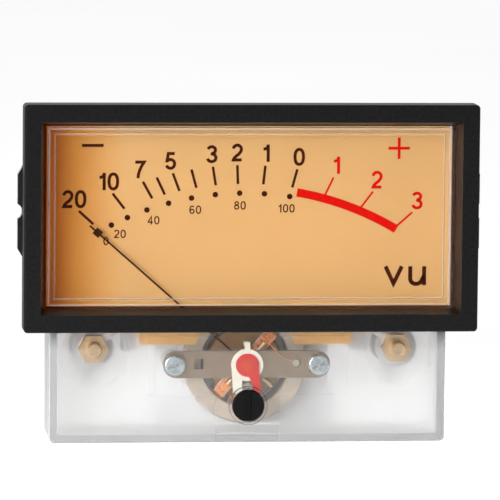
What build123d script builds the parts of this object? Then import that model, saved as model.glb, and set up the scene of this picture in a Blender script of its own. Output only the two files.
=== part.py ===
from build123d import *
from math import cos, radians, sin
import os

# Panel meter with a moving coil movement. Millimetres.
# X is to the right, Z is up, the dial faces -Y. The lower body stands on Z = 0.
# Depths are counted from the front of the bezel towards the back.

# overall
TOTAL_DEPTH = 28.0
HALF_DEPTH = TOTAL_DEPTH / 2

# bezel
BEZEL_W = 90.0
BEZEL_H = 45.0
BEZEL_DEPTH = 5.5
BEZEL_Z = 45.1
BEZEL_CORNER = 0.8
OPENING_W = 83.3
OPENING_H = 38.0
THROAT_W = 81.9
THROAT_H = 36.6
THROAT_DEPTH = 4.2
EAR_X = 45.9
EAR_Z = 46.1
EAR_HALF_H = 8.9
EAR_BACK = 7.5
EAR_INNER_X = 42.7
NOTCH_X = 46.6
NOTCH_R = 1.6

# clear cover
WALL = 1.5
PLATE_FRONT = 5.5
PLATE_BACK = 6.7
JOINT_DEPTH = 8.7
LOWER_HALF_W = 39.4
UPPER_HALF_W = 42.4
SHOULDER_Z = 23.4
TOP_Z = 64.6
CASE_CORNER = 0.9
LENS_W = 80.1
LENS_H = 35.35
LENS_FRONT = 4.0
LENS_WALL = 1.2
EJECTOR_X = 26.3
EJECTOR_Z = 4.9
EJECTOR_R = 0.9
EJECTOR_RING_R = 3.2
EJECTOR_DEPTH = 0.08

# rear case
CASE_BACK = 22.0
FLOOR_DEPTH = 20.5

# movement
AXIS_Z = 15.2
YOKE_R = 12.2
YOKE_BORE_R = 8.75
YOKE_FRONT = 11.8
YOKE_BACK = 17.8
CORE_R = 7.4
CORE_FRONT = 12.1
CORE_BACK = 16.7
SPACER_HALF_ANGLE = 24.0
COIL_HALF_T = 1.3
FORMER_X = 7.7
FORMER_T = 0.2
WINDING_T = 0.4
REST_ANGLE = 48.6
POINTER_TIP_R = 41.8
VANE_R = 39.7

# bridges
BRIDGE_FRONT = 8.5
BRIDGE_BACK = 9.3
BRIDGE_L = 33.4
BRIDGE_W = 5.4
POST_X = 14.4
POST_R = 2.0
REAR_BRIDGE_FRONT = 19.0
REAR_BRIDGE_BACK = 19.8
REAR_BRIDGE_L = 24.0

# zero adjuster
KNOB_Z = 7.4
KNOB_R = 3.2
KNOB_FRONT = 4.5
PIN_R = 0.95
PIN_OFFSET = 3.4
FORK_GAP = 1.02

# dial
DIAL_FRONT = 11.3
DIAL_BACK = 11.8
DIAL_HALF_W = 40.5
DIAL_BOTTOM = 21.4
DIAL_STEP_Z = 25.2
DIAL_FOOT_HALF_W = 37.6
DIAL_TOP = 62.9
DIAL_TAB_HALF_W = 21.4
DIAL_TAB_BOTTOM = 18.9
DIAL_CUT_R = 10.6
DIAL_SCREW_X = 34.0
DIAL_SCREW_Z = 23.8

# terminals
STUD_X = 30.4
STUD_Z = 18.1
STUD_R = 1.5
STUD_FRONT = 7.8
STUD_END_R = 1.3
STUD_END_L = 2.5
NUT_AF = 5.3
NUT_H = 2.4
NUT_FRONT = 10.4
TOWER_R = 4.2
TOWER_FRONT = 13.2

# lamps
LAMP_X = 18.0
LAMP_Z = 56.5
LAMP_PIN_X = 6.0
LAMP_PIN_R = 0.6
LAMP_PIN_END_R = 0.4
LAMP_PIN_BACK = 26.5


def at(depth):
    """Sketch plane facing the viewer, with the axes right and up, at a given depth."""
    return Plane(origin=(0, depth - HALF_DEPTH, 0), x_dir=(1, 0, 0), z_dir=(0, -1, 0))


def about_axis(depth, turn=0.0):
    """Sketch plane centred on the movement axis and turned counter-clockwise as seen."""
    right = (cos(radians(turn)), 0, sin(radians(turn)))
    return Plane(origin=(0, depth - HALF_DEPTH, AXIS_Z), x_dir=right, z_dir=(0, -1, 0))


def case_outline(inset):
    """Outline shared by the cover and the rear case, drawn smaller by the inset."""
    low_w = 2 * (LOWER_HALF_W - inset)
    up_w = 2 * (UPPER_HALF_W - inset)
    low_top = SHOULDER_Z + 6
    with Locations((0, (inset + low_top) / 2)):
        RectangleRounded(low_w, low_top - inset, CASE_CORNER)
    with Locations((0, (SHOULDER_Z + TOP_Z) / 2)):
        RectangleRounded(up_w, TOP_Z - SHOULDER_Z - 2 * inset, CASE_CORNER)


def spiral_outline(inner_r, outer_r, turns, thickness, end_angle):
    """Corner points around the ribbon of a flat spiral spring that ends at end_angle."""
    steps = int(turns * 20)
    inside = []
    outside = []
    for i in range(steps + 1):
        part = i / steps
        r = inner_r + (outer_r - inner_r) * part
        a = radians(end_angle - 360 * turns * (1 - part))
        inside.append(((r - thickness / 2) * cos(a), (r - thickness / 2) * sin(a)))
        outside.append(((r + thickness / 2) * cos(a), (r + thickness / 2) * sin(a)))
    return outside + inside[::-1]


os.makedirs("parts", exist_ok=True)

# ---------------------------------------------------------------- housing

with BuildPart() as front_bezel:
    with BuildSketch(at(BEZEL_DEPTH)):
        with Locations((0, BEZEL_Z)):
            RectangleRounded(BEZEL_W, BEZEL_H, BEZEL_CORNER)
    extrude(amount=BEZEL_DEPTH)
    front_edges = front_bezel.faces().sort_by(Axis.Y)[0].edges()
    fillet(front_edges, 0.45)
    # throat around the raised window, then the sloping reveal in front of it
    with BuildSketch(at(BEZEL_DEPTH)):
        with Locations((0, BEZEL_Z)):
            RectangleRounded(THROAT_W, THROAT_H, 0.5)
    extrude(amount=BEZEL_DEPTH, mode=Mode.SUBTRACT)
    with BuildSketch(at(THROAT_DEPTH)):
        with Locations((0, BEZEL_Z)):
            Rectangle(THROAT_W - 0.02, THROAT_H - 0.02)
    with BuildSketch(at(0)):
        with Locations((0, BEZEL_Z)):
            Rectangle(OPENING_W, OPENING_H)
    loft(mode=Mode.SUBTRACT)
    # ears behind the side walls, with the mounting notches and the latch ridges
    for side in (-1, 1):
        with BuildSketch(at(EAR_BACK)):
            with BuildLine():
                Polyline(
                    (side * EAR_INNER_X, EAR_Z - EAR_HALF_H),
                    (side * 45.0, EAR_Z - EAR_HALF_H),
                    (side * EAR_X, EAR_Z - EAR_HALF_H + 1.5),
                    (side * EAR_X, EAR_Z + EAR_HALF_H - 1.6),
                    (side * 45.0, EAR_Z + EAR_HALF_H),
                    (side * EAR_INNER_X, EAR_Z + EAR_HALF_H),
                    close=True,
                )
            make_face()
            with Locations((side * NOTCH_X, EAR_Z)):
                Circle(NOTCH_R, mode=Mode.SUBTRACT)
        extrude(amount=EAR_BACK - BEZEL_DEPTH)
        with BuildSketch(at(7.4)):
            with Locations((side * (EAR_INNER_X - 0.2), EAR_Z)):
                Rectangle(0.8, 7)
        extrude(amount=0.5)

front_bezel.part.label = "front_bezel"
export_step(front_bezel.part, "parts/front_bezel.step")

with BuildPart() as clear_cover:
    with BuildSketch(at(JOINT_DEPTH)):
        case_outline(0)
    extrude(amount=JOINT_DEPTH - PLATE_FRONT)
    with BuildSketch(at(PLATE_FRONT)):
        with Locations((0, BEZEL_Z)):
            RectangleRounded(LENS_W, LENS_H, 0.6)
    extrude(amount=PLATE_FRONT - LENS_FRONT)
    lens_front = clear_cover.faces().sort_by(Axis.Y)[0]
    fillet(lens_front.edges(), 0.35)
    with BuildSketch(at(JOINT_DEPTH)):
        case_outline(WALL)
    extrude(amount=JOINT_DEPTH - PLATE_BACK, mode=Mode.SUBTRACT)
    with BuildSketch(at(PLATE_BACK + 0.1)):
        with Locations((0, BEZEL_Z)):
            Rectangle(LENS_W - 2 * LENS_WALL, LENS_H - 2 * LENS_WALL)
    extrude(amount=PLATE_BACK + 0.1 - LENS_FRONT - LENS_WALL, mode=Mode.SUBTRACT)
    # collar, recess and bearing for the zero screw
    with BuildSketch(at(PLATE_BACK)):
        with Locations((0, KNOB_Z)):
            Circle(KNOB_R + 0.65)
    extrude(amount=PLATE_BACK - 4.6)
    with BuildSketch(at(5.9)):
        with Locations((0, KNOB_Z)):
            Circle(KNOB_R + 0.08)
    extrude(amount=2, mode=Mode.SUBTRACT)
    with BuildSketch(at(PLATE_BACK)):
        with Locations((0, KNOB_Z)):
            Circle(1.6)
    extrude(amount=2, mode=Mode.SUBTRACT)
    # shallow ejector marks on the inside, the right one with a ring round it
    with BuildSketch(at(PLATE_BACK)):
        with Locations((-EJECTOR_X, EJECTOR_Z), (EJECTOR_X, EJECTOR_Z)):
            Circle(EJECTOR_R)
        with Locations((EJECTOR_X, EJECTOR_Z)):
            Circle(EJECTOR_RING_R)
            Circle(EJECTOR_RING_R - 0.3, mode=Mode.SUBTRACT)
            Circle(EJECTOR_R)
    extrude(amount=EJECTOR_DEPTH, mode=Mode.SUBTRACT)
    # grooves for the latch ridges of the bezel
    for side in (-1, 1):
        with BuildSketch(at(7.5)):
            with Locations((side * UPPER_HALF_W, EAR_Z)):
                Rectangle(0.9, 7.2)
        extrude(amount=0.7, mode=Mode.SUBTRACT)

clear_cover.part.label = "clear_cover"
export_step(clear_cover.part, "parts/clear_cover.step")

with BuildPart() as rear_case:
    with BuildSketch(at(CASE_BACK)):
        case_outline(0)
    extrude(amount=CASE_BACK - JOINT_DEPTH)
    back_face = rear_case.faces().sort_by(Axis.Y)[-1]
    fillet(back_face.edges(), 0.5)
    with BuildSketch(at(FLOOR_DEPTH)):
        case_outline(WALL)
    extrude(amount=FLOOR_DEPTH - JOINT_DEPTH, mode=Mode.SUBTRACT)
    # towers under the terminals
    with BuildSketch(at(FLOOR_DEPTH)):
        with Locations((-STUD_X, STUD_Z), (STUD_X, STUD_Z)):
            Circle(TOWER_R)
    extrude(amount=FLOOR_DEPTH - TOWER_FRONT)
    # posts under the dial screws
    with BuildSketch(at(FLOOR_DEPTH)):
        with Locations((-DIAL_SCREW_X, DIAL_SCREW_Z), (DIAL_SCREW_X, DIAL_SCREW_Z)):
            Circle(2.0)
    extrude(amount=FLOOR_DEPTH - DIAL_BACK)
    # rests beside the dial tab and a ledge under the top edge of the dial
    with BuildSketch(at(FLOOR_DEPTH)):
        with Locations((-23.1, 19.3), (23.1, 19.3)):
            Rectangle(2.6, 3.6)
        with Locations((0, 62.4)):
            Rectangle(50, 1.4)
    extrude(amount=FLOOR_DEPTH - DIAL_BACK)
    # holes: terminals, dial screws, cradle screws, lamp pins
    with BuildSketch(at(CASE_BACK)):
        with Locations((-STUD_X, STUD_Z), (STUD_X, STUD_Z)):
            Circle(STUD_R + 0.1)
        with Locations((-14.5, 4.7), (14.5, 4.7), (-14.5, 25.7), (14.5, 25.7)):
            Circle(0.9)
        with Locations((-LAMP_PIN_X, LAMP_Z), (LAMP_PIN_X, LAMP_Z)):
            Circle(LAMP_PIN_R + 0.1)
    extrude(amount=CASE_BACK - TOWER_FRONT, mode=Mode.SUBTRACT)
    with BuildSketch(at(16)):
        with Locations((-DIAL_SCREW_X, DIAL_SCREW_Z), (DIAL_SCREW_X, DIAL_SCREW_Z)):
            Circle(0.82)
    extrude(amount=16 - DIAL_BACK, mode=Mode.SUBTRACT)

rear_case.part.label = "rear_case"
export_step(rear_case.part, "parts/rear_case.step")

# ---------------------------------------------------------------- dial

with BuildPart() as dial_plate:
    with BuildSketch(at(DIAL_BACK)):
        with Locations((0, (DIAL_STEP_Z + DIAL_TOP) / 2)):
            Rectangle(2 * DIAL_HALF_W, DIAL_TOP - DIAL_STEP_Z)
        with Locations((0, (DIAL_BOTTOM + DIAL_STEP_Z + 1) / 2)):
            Rectangle(2 * DIAL_FOOT_HALF_W, DIAL_STEP_Z + 1 - DIAL_BOTTOM)
        with Locations((0, (DIAL_TAB_BOTTOM + DIAL_BOTTOM + 1) / 2)):
            Rectangle(2 * DIAL_TAB_HALF_W, DIAL_BOTTOM + 1 - DIAL_TAB_BOTTOM)
        with Locations((0, AXIS_Z)):
            Circle(DIAL_CUT_R, mode=Mode.SUBTRACT)
        with Locations((-DIAL_SCREW_X, DIAL_SCREW_Z), (DIAL_SCREW_X, DIAL_SCREW_Z)):
            Circle(0.9, mode=Mode.SUBTRACT)
    extrude(amount=DIAL_BACK - DIAL_FRONT)

dial_plate.part.label = "dial_plate"
export_step(dial_plate.part, "parts/dial_plate.step")

with BuildPart() as dial_screws:
    with BuildSketch(at(15)):
        with Locations((-DIAL_SCREW_X, DIAL_SCREW_Z), (DIAL_SCREW_X, DIAL_SCREW_Z)):
            Circle(0.8)
    extrude(amount=15 - DIAL_FRONT)
    with BuildSketch(at(DIAL_FRONT)):
        with Locations((-DIAL_SCREW_X, DIAL_SCREW_Z), (DIAL_SCREW_X, DIAL_SCREW_Z)):
            Circle(1.6)
    extrude(amount=0.8)
    with BuildSketch(at(10.9)):
        with Locations((-DIAL_SCREW_X, DIAL_SCREW_Z), (DIAL_SCREW_X, DIAL_SCREW_Z)):
            Rectangle(4, 0.4)
    extrude(amount=1, mode=Mode.SUBTRACT)

dial_screws.part.label = "dial_screws"
export_step(dial_screws.part, "parts/dial_screws.step")

# ---------------------------------------------------------------- magnet system

with BuildPart() as yoke_ring:
    with BuildSketch(about_axis(YOKE_BACK)):
        Circle(YOKE_R)
        Circle(YOKE_BORE_R, mode=Mode.SUBTRACT)
    extrude(amount=YOKE_BACK - YOKE_FRONT)
    rim = yoke_ring.faces().sort_by(Axis.Y)[0].edges()
    chamfer(rim, 0.25)

yoke_ring.part.label = "yoke_ring"
export_step(yoke_ring.part, "parts/yoke_ring.step")

with BuildPart() as core_magnet:
    with BuildSketch(about_axis(CORE_BACK)):
        Circle(CORE_R)
    extrude(amount=CORE_BACK - CORE_FRONT)
    chamfer(core_magnet.edges().filter_by(GeomType.CIRCLE), 0.3)

core_magnet.part.label = "core_magnet"
export_step(core_magnet.part, "parts/core_magnet.step")

# bars above and below the core, outside the sweep of the coil, hold it in the ring
with BuildPart() as core_spacers:
    with BuildSketch(about_axis(CORE_BACK - 0.3)):
        for centre in (90, 270):
            with BuildLine():
                start = centre - SPACER_HALF_ANGLE
                CenterArc((0, 0), YOKE_BORE_R, start, 2 * SPACER_HALF_ANGLE)
                CenterArc((0, 0), CORE_R, start, 2 * SPACER_HALF_ANGLE)
                for edge_angle in (start, start + 2 * SPACER_HALF_ANGLE):
                    a = radians(edge_angle)
                    inner = (CORE_R * cos(a), CORE_R * sin(a))
                    outer = (YOKE_BORE_R * cos(a), YOKE_BORE_R * sin(a))
                    Line(inner, outer)
            make_face()
    extrude(amount=CORE_BACK - CORE_FRONT - 0.6)

core_spacers.part.label = "core_spacers"
export_step(core_spacers.part, "parts/core_spacers.step")

with BuildPart() as movement_cradle:
    with BuildSketch(at(REAR_BRIDGE_FRONT)):
        with Locations((0, AXIS_Z)):
            RectangleRounded(34.6, 26, 2)
            Circle(7.0, mode=Mode.SUBTRACT)
    extrude(amount=REAR_BRIDGE_FRONT - YOKE_BACK)
    with BuildSketch(about_axis(YOKE_BACK)):
        Circle(YOKE_R + 0.85)
        Circle(YOKE_R + 0.03, mode=Mode.SUBTRACT)
    extrude(amount=2.6)
    with BuildSketch(about_axis(YOKE_BACK)):
        with Locations((-POST_X, 0), (POST_X, 0)):
            Circle(POST_R)
    extrude(amount=YOKE_BACK - BRIDGE_BACK)
    with BuildSketch(about_axis(14)):
        with Locations((-POST_X, 0), (POST_X, 0)):
            Circle(0.76)
    extrude(amount=14 - BRIDGE_BACK, mode=Mode.SUBTRACT)
    with BuildSketch(about_axis(FLOOR_DEPTH)):
        with Locations((-14.5, -10.5), (14.5, -10.5), (-14.5, 10.5), (14.5, 10.5)):
            Circle(2.0)
    extrude(amount=FLOOR_DEPTH - REAR_BRIDGE_FRONT)
    with BuildSketch(about_axis(FLOOR_DEPTH)):
        with Locations((-14.5, -10.5), (14.5, -10.5), (-14.5, 10.5), (14.5, 10.5)):
            Circle(0.76)
    extrude(amount=FLOOR_DEPTH - YOKE_BACK - 0.4, mode=Mode.SUBTRACT)
    with BuildSketch(about_axis(REAR_BRIDGE_FRONT)):
        with Locations((-9.5, 0), (9.5, 0)):
            Circle(0.62)
    extrude(amount=0.9, mode=Mode.SUBTRACT)

movement_cradle.part.label = "movement_cradle"
export_step(movement_cradle.part, "parts/movement_cradle.step")

with BuildPart() as cradle_screws:
    with BuildSketch(about_axis(CASE_BACK)):
        with Locations((-14.5, -10.5), (14.5, -10.5), (-14.5, 10.5), (14.5, 10.5)):
            Circle(0.74)
    extrude(amount=3.6)
    with BuildSketch(about_axis(CASE_BACK + 0.9)):
        with Locations((-14.5, -10.5), (14.5, -10.5), (-14.5, 10.5), (14.5, 10.5)):
            Circle(1.8)
    extrude(amount=0.9)
    with BuildSketch(about_axis(CASE_BACK + 1)):
        with Locations((-14.5, -10.5), (14.5, -10.5), (-14.5, 10.5), (14.5, 10.5)):
            Rectangle(2.4, 0.45)
            Rectangle(0.45, 2.4)
    extrude(amount=0.6, mode=Mode.SUBTRACT)

cradle_screws.part.label = "cradle_screws"
export_step(cradle_screws.part, "parts/cradle_screws.step")

# ---------------------------------------------------------------- bridges and bearings

with BuildPart() as front_bridge:
    with BuildSketch(about_axis(BRIDGE_BACK)):
        SlotOverall(BRIDGE_L, BRIDGE_W)
        with Locations((-POST_X, 0), (POST_X, 0)):
            Circle(0.8, mode=Mode.SUBTRACT)
        Circle(1.12, mode=Mode.SUBTRACT)
        with Locations((-9.6, 0.1)):
            Rectangle(1.9, 2.0, mode=Mode.SUBTRACT)
    extrude(amount=BRIDGE_BACK - BRIDGE_FRONT)

front_bridge.part.label = "front_bridge"
export_step(front_bridge.part, "parts/front_bridge.step")

with BuildPart() as bridge_screws:
    with BuildSketch(about_axis(13)):
        with Locations((-POST_X, 0), (POST_X, 0)):
            Circle(0.74)
    extrude(amount=13 - BRIDGE_FRONT)
    with BuildSketch(about_axis(BRIDGE_FRONT)):
        with Locations((-POST_X, 0), (POST_X, 0)):
            Circle(2.2)
    extrude(amount=1.1)
    fillet(bridge_screws.faces().sort_by(Axis.Y)[0].edges(), 0.5)
    fillet(bridge_screws.faces().sort_by(Axis.Y)[1].edges(), 0.5)
    with BuildSketch(about_axis(8.0)):
        with Locations((-POST_X, 0), (POST_X, 0)):
            Rectangle(2.5, 0.5, rotation=20)
            Rectangle(0.5, 2.5, rotation=20)
    extrude(amount=1, mode=Mode.SUBTRACT)

bridge_screws.part.label = "bridge_screws"
export_step(bridge_screws.part, "parts/bridge_screws.step")

with BuildPart() as front_jewel_screw:
    with BuildSketch(about_axis(9.25)):
        Circle(1.1)
    extrude(amount=9.25 - 7.05)
    with BuildSketch(about_axis(7.05)):
        Circle(1.3)
    extrude(amount=0.2)
    with BuildSketch(about_axis(9.25)):
        Circle(0.62)
    extrude(amount=0.95, mode=Mode.SUBTRACT)
    with BuildSketch(about_axis(7.05)):
        Rectangle(1.5, 0.22)
    extrude(amount=1, mode=Mode.SUBTRACT)
    # groove that leaves the spun rim round the slot
    with BuildSketch(about_axis(6.99)):
        Circle(1.16)
        Circle(0.98, mode=Mode.SUBTRACT)
    extrude(amount=1, mode=Mode.SUBTRACT)

front_jewel_screw.part.label = "front_jewel_screw"
export_step(front_jewel_screw.part, "parts/front_jewel_screw.step")

with BuildPart() as front_jewel:
    with BuildSketch(about_axis(8.95)):
        Circle(0.6)
    extrude(amount=0.6)
    with BuildSketch(about_axis(8.95)):
        Circle(0.36)
    with BuildSketch(about_axis(8.55)):
        Circle(0.06)
    loft(mode=Mode.SUBTRACT)

front_jewel.part.label = "front_jewel"
export_step(front_jewel.part, "parts/front_jewel.step")

with BuildPart() as friction_washer:
    with BuildSketch(about_axis(BRIDGE_FRONT)):
        Circle(2.6)
        Circle(1.15, mode=Mode.SUBTRACT)
    extrude(amount=0.3)

friction_washer.part.label = "friction_washer"
export_step(friction_washer.part, "parts/friction_washer.step")

with BuildPart() as rear_bridge:
    with BuildSketch(about_axis(REAR_BRIDGE_BACK)):
        SlotOverall(REAR_BRIDGE_L, BRIDGE_W)
        with Locations((-9.5, 0), (9.5, 0)):
            Circle(0.7, mode=Mode.SUBTRACT)
        Circle(1.12, mode=Mode.SUBTRACT)
    extrude(amount=REAR_BRIDGE_BACK - REAR_BRIDGE_FRONT)

rear_bridge.part.label = "rear_bridge"
export_step(rear_bridge.part, "parts/rear_bridge.step")

with BuildPart() as rear_bridge_screws:
    with BuildSketch(about_axis(REAR_BRIDGE_BACK)):
        with Locations((-9.5, 0), (9.5, 0)):
            Circle(0.6)
    extrude(amount=1.6)
    with BuildSketch(about_axis(REAR_BRIDGE_BACK + 0.5)):
        with Locations((-9.5, 0), (9.5, 0)):
            Circle(1.4)
            Rectangle(3.0, 0.4, mode=Mode.SUBTRACT)
    extrude(amount=0.3)
    with BuildSketch(about_axis(REAR_BRIDGE_BACK + 0.2)):
        with Locations((-9.5, 0), (9.5, 0)):
            Circle(1.4)
    extrude(amount=0.2)

rear_bridge_screws.part.label = "rear_bridge_screws"
export_step(rear_bridge_screws.part, "parts/rear_bridge_screws.step")

with BuildPart() as rear_jewel_screw:
    with BuildSketch(about_axis(20.4)):
        Circle(1.1)
    extrude(amount=1.4)
    with BuildSketch(about_axis(19.9)):
        Circle(0.62)
    extrude(amount=1.2, mode=Mode.SUBTRACT)
    with BuildSketch(about_axis(20.5)):
        Rectangle(2.8, 0.3)
    extrude(amount=0.35, mode=Mode.SUBTRACT)

rear_jewel_screw.part.label = "rear_jewel_screw"
export_step(rear_jewel_screw.part, "parts/rear_jewel_screw.step")

with BuildPart() as rear_jewel:
    with BuildSketch(about_axis(19.8)):
        Circle(0.6)
    extrude(amount=0.6)
    with BuildSketch(about_axis(19.6)):
        Circle(0.06)
    with BuildSketch(about_axis(19.2)):
        Circle(0.36)
    loft(mode=Mode.SUBTRACT)

rear_jewel.part.label = "rear_jewel"
export_step(rear_jewel.part, "parts/rear_jewel.step")

with BuildPart() as jewel_lock_nut:
    with BuildSketch(about_axis(20.25)):
        RegularPolygon(2.0, 6)
        Circle(1.13, mode=Mode.SUBTRACT)
    extrude(amount=0.45)

jewel_lock_nut.part.label = "jewel_lock_nut"
export_step(jewel_lock_nut.part, "parts/jewel_lock_nut.step")

with BuildPart() as rear_spring_anchor:
    with BuildSketch(about_axis(REAR_BRIDGE_FRONT)):
        with Locations((0, 4.3)):
            Rectangle(1.0, 1.0)
    extrude(amount=1.0)
    with BuildSketch(about_axis(REAR_BRIDGE_FRONT)):
        with Locations((0, 3.3)):
            Rectangle(1.0, 2.0)
    extrude(amount=0.2)

rear_spring_anchor.part.label = "rear_spring_anchor"
export_step(rear_spring_anchor.part, "parts/rear_spring_anchor.step")

# fine wire from behind the bridge to a blob of solder on its face
with BuildPart() as lead_out_wire:
    with BuildLine() as lead_out_path:
        Spline(
            (3.2, 10.6 - HALF_DEPTH, AXIS_Z + 5.6),
            (4.3, 9.2 - HALF_DEPTH, AXIS_Z + 4.5),
            (5.6, 8.2 - HALF_DEPTH, AXIS_Z + 2.9),
            (9.2, 8.2 - HALF_DEPTH, AXIS_Z + 0.7),
        )
    with BuildSketch(Plane(origin=lead_out_path.line @ 0, z_dir=lead_out_path.line % 0)):
        Circle(0.09)
    sweep()

lead_out_wire.part.label = "lead_out_wire"
export_step(lead_out_wire.part, "parts/lead_out_wire.step")

with BuildPart() as solder_blob:
    with Locations((9.8, BRIDGE_FRONT - HALF_DEPTH, AXIS_Z + 0.3)):
        Sphere(0.9)
    with Locations((9.8, BRIDGE_FRONT + 1 - HALF_DEPTH, AXIS_Z + 0.3)):
        Box(4, 2, 4, mode=Mode.SUBTRACT)
    with Locations((9.8, 7.2 - HALF_DEPTH, AXIS_Z + 0.3)):
        Box(4, 1.4, 4, mode=Mode.SUBTRACT)
    add(lead_out_wire.part, mode=Mode.SUBTRACT)

solder_blob.part.label = "solder_blob"
export_step(solder_blob.part, "parts/solder_blob.step")

# ---------------------------------------------------------------- moving coil

with BuildPart() as coil_former:
    with BuildSketch(about_axis(17.4, REST_ANGLE)):
        Rectangle(2 * (FORMER_X + FORMER_T), 2 * COIL_HALF_T)
    extrude(amount=17.4 - 11.3)
    with BuildSketch(about_axis(17.2, REST_ANGLE)):
        Rectangle(2 * FORMER_X, 2 * COIL_HALF_T + 1)
    extrude(amount=17.2 - 11.5, mode=Mode.SUBTRACT)

coil_former.part.label = "coil_former"
export_step(coil_former.part, "parts/coil_former.step")

with BuildPart() as coil_winding:
    with BuildSketch(about_axis(17.4 + WINDING_T, REST_ANGLE)):
        Rectangle(2 * (FORMER_X + FORMER_T + WINDING_T), 2 * COIL_HALF_T - 0.3)
    extrude(amount=17.4 - 11.3 + 2 * WINDING_T)
    corners = coil_winding.edges().filter_by(lambda e: abs(e.length - 2 * COIL_HALF_T + 0.3) < 0.01)
    fillet(corners.filter_by(lambda e: abs((e % 0.5).Y) < 0.01), 0.35)
    with BuildSketch(about_axis(17.4, REST_ANGLE)):
        Rectangle(2 * (FORMER_X + FORMER_T), 2 * COIL_HALF_T + 1)
    extrude(amount=17.4 - 11.3, mode=Mode.SUBTRACT)

coil_winding.part.label = "coil_winding"
export_step(coil_winding.part, "parts/coil_winding.step")

with BuildPart() as front_staff:
    with BuildSketch(about_axis(10.9)):
        Circle(0.9)
    extrude(amount=0.25)
    with BuildSketch(about_axis(10.65)):
        Circle(0.3)
    extrude(amount=10.65 - 9.0)
    with BuildSketch(about_axis(9.0)):
        Circle(0.3)
    with BuildSketch(about_axis(8.62)):
        Circle(0.04)
    loft()

front_staff.part.label = "front_staff"
export_step(front_staff.part, "parts/front_staff.step")

with BuildPart() as rear_staff:
    with BuildSketch(about_axis(18.05)):
        Circle(0.9)
    extrude(amount=0.25)
    with BuildSketch(about_axis(19.15)):
        Circle(0.3)
    extrude(amount=1.1)
    with BuildSketch(about_axis(19.15)):
        Circle(0.3)
    with BuildSketch(about_axis(19.53)):
        Circle(0.04)
    loft()

rear_staff.part.label = "rear_staff"
export_step(rear_staff.part, "parts/rear_staff.step")

with BuildPart() as pointer:
    with BuildSketch(about_axis(9.95, REST_ANGLE)):
        with Locations((0, (POINTER_TIP_R + 0.6) / 2)):
            Rectangle(0.36, POINTER_TIP_R - 0.6)
        Circle(0.9)
        Circle(0.32, mode=Mode.SUBTRACT)
    extrude(amount=0.15)

pointer.part.label = "pointer"
export_step(pointer.part, "parts/pointer.step")

with BuildPart() as pointer_vane:
    with BuildSketch(about_axis(9.8, REST_ANGLE)):
        with Locations((0, VANE_R)):
            Rectangle(1.5, 1.5)
    extrude(amount=0.15)

pointer_vane.part.label = "pointer_vane"
export_step(pointer_vane.part, "parts/pointer_vane.step")

with BuildPart() as balance_cross:
    with BuildSketch(about_axis(10.3, REST_ANGLE)):
        Circle(0.9)
        with Locations((0, -2.6)):
            Rectangle(0.4, 3.6)
        with Locations((-2.6, 0), (2.6, 0)):
            Rectangle(3.6, 0.4)
        Circle(0.32, mode=Mode.SUBTRACT)
    extrude(amount=0.35)

balance_cross.part.label = "balance_cross"
export_step(balance_cross.part, "parts/balance_cross.step")

with BuildPart() as balance_weights:
    for turn, length in ((180, 2.6), (90, 1.2), (-90, 1.2)):
        direction = Vector(0, 1, 0).rotate(Axis.Z, REST_ANGLE + turn)
        normal = (direction.X, 0, direction.Y)
        base = (4.4 * direction.X, 10.12 - HALF_DEPTH, AXIS_Z + 4.4 * direction.Y)
        with BuildSketch(Plane(origin=base, z_dir=normal)):
            Circle(0.5)
        extrude(amount=length)

balance_weights.part.label = "balance_weights"
export_step(balance_weights.part, "parts/balance_weights.step")

with BuildPart() as front_hairspring:
    with BuildSketch(about_axis(9.65)):
        Circle(0.55)
        Circle(0.32, mode=Mode.SUBTRACT)
    extrude(amount=0.25)
    with BuildSketch(about_axis(9.65)):
        with BuildLine():
            Polyline(*spiral_outline(0.56, 3.62, 5, 0.1, 90), close=True)
        make_face()
    extrude(amount=0.2)

front_hairspring.part.label = "front_hairspring"
export_step(front_hairspring.part, "parts/front_hairspring.step")

with BuildPart() as rear_hairspring:
    with BuildSketch(about_axis(18.6)):
        Circle(0.55)
        Circle(0.32, mode=Mode.SUBTRACT)
    extrude(amount=0.25)
    with BuildSketch(about_axis(18.6)):
        with BuildLine():
            Polyline(*spiral_outline(0.56, 3.7, 5, 0.1, 90), close=True)
        make_face()
    extrude(amount=0.2)

rear_hairspring.part.label = "rear_hairspring"
export_step(rear_hairspring.part, "parts/rear_hairspring.step")

# ---------------------------------------------------------------- zero adjuster

with BuildPart() as zero_lever:
    with BuildSketch(about_axis(8.15)):
        Circle(3.2)
        with Locations((0, 3.6)):
            Rectangle(1.1, 2.0)
        with BuildLine():
            Polyline(
                (-3.1, -0.8),
                (-2.75, -5.6),
                (-FORK_GAP, -5.6),
                (-FORK_GAP, -1.5),
                (-0.5, 0),
                close=True,
            )
        make_face()
        Circle(1.16, mode=Mode.SUBTRACT)
    extrude(amount=0.6)
    # finger that reaches back over the bridge and holds the end of the spring
    with BuildSketch(about_axis(9.7)):
        with Locations((0, 4.1)):
            Rectangle(1.1, 0.8)
    extrude(amount=2.1)

zero_lever.part.label = "zero_lever"
export_step(zero_lever.part, "parts/zero_lever.step")

with BuildPart() as zero_fork_arm:
    with BuildSketch(about_axis(7.5)):
        Circle(2.3)
        with BuildLine():
            Polyline(
                (2.25, -0.4),
                (2.75, -5.9),
                (1.3, -5.6),
                (FORK_GAP, -4.9),
                (FORK_GAP, -3.7),
                (0.2, -2.2),
                (0, 0),
                close=True,
            )
        make_face()
        Circle(1.16, mode=Mode.SUBTRACT)
    extrude(amount=0.4)

zero_fork_arm.part.label = "zero_fork_arm"
export_step(zero_fork_arm.part, "parts/zero_fork_arm.step")

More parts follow.
